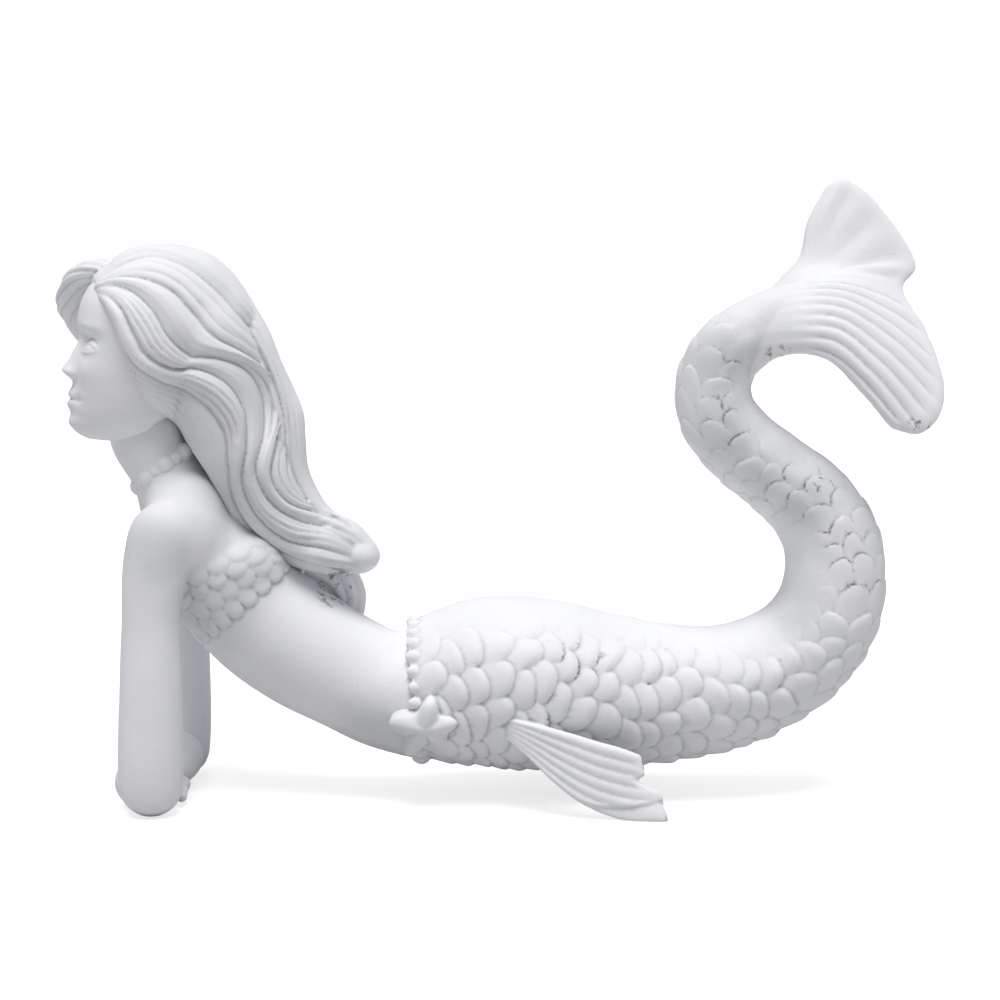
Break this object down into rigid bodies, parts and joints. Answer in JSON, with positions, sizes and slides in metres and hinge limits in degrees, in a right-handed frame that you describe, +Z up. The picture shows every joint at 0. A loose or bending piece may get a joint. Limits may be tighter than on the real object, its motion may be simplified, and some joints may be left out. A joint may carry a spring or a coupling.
{
  "type": "mermaid figurine",
  "caption": "Lying mermaid figurine in matt white casting, propped on her elbows, with long wavy hair, scaled curling tail, fluke and hip fins.",
  "frame": {"origin": "centre of the overall box on the ground the elbows and hip fins rest on", "axes": "+Z up, -X the way she faces, +X towards the curled tail, -Y the side seen in the picture"},
  "size_m": [0.1766, 0.0484, 0.1239],
  "materials": {
    "white_casting": "matt white cast resin"
  },
  "bodies": {
    "root": {"figurine": "white_casting"}
  },
  "joints": []
}
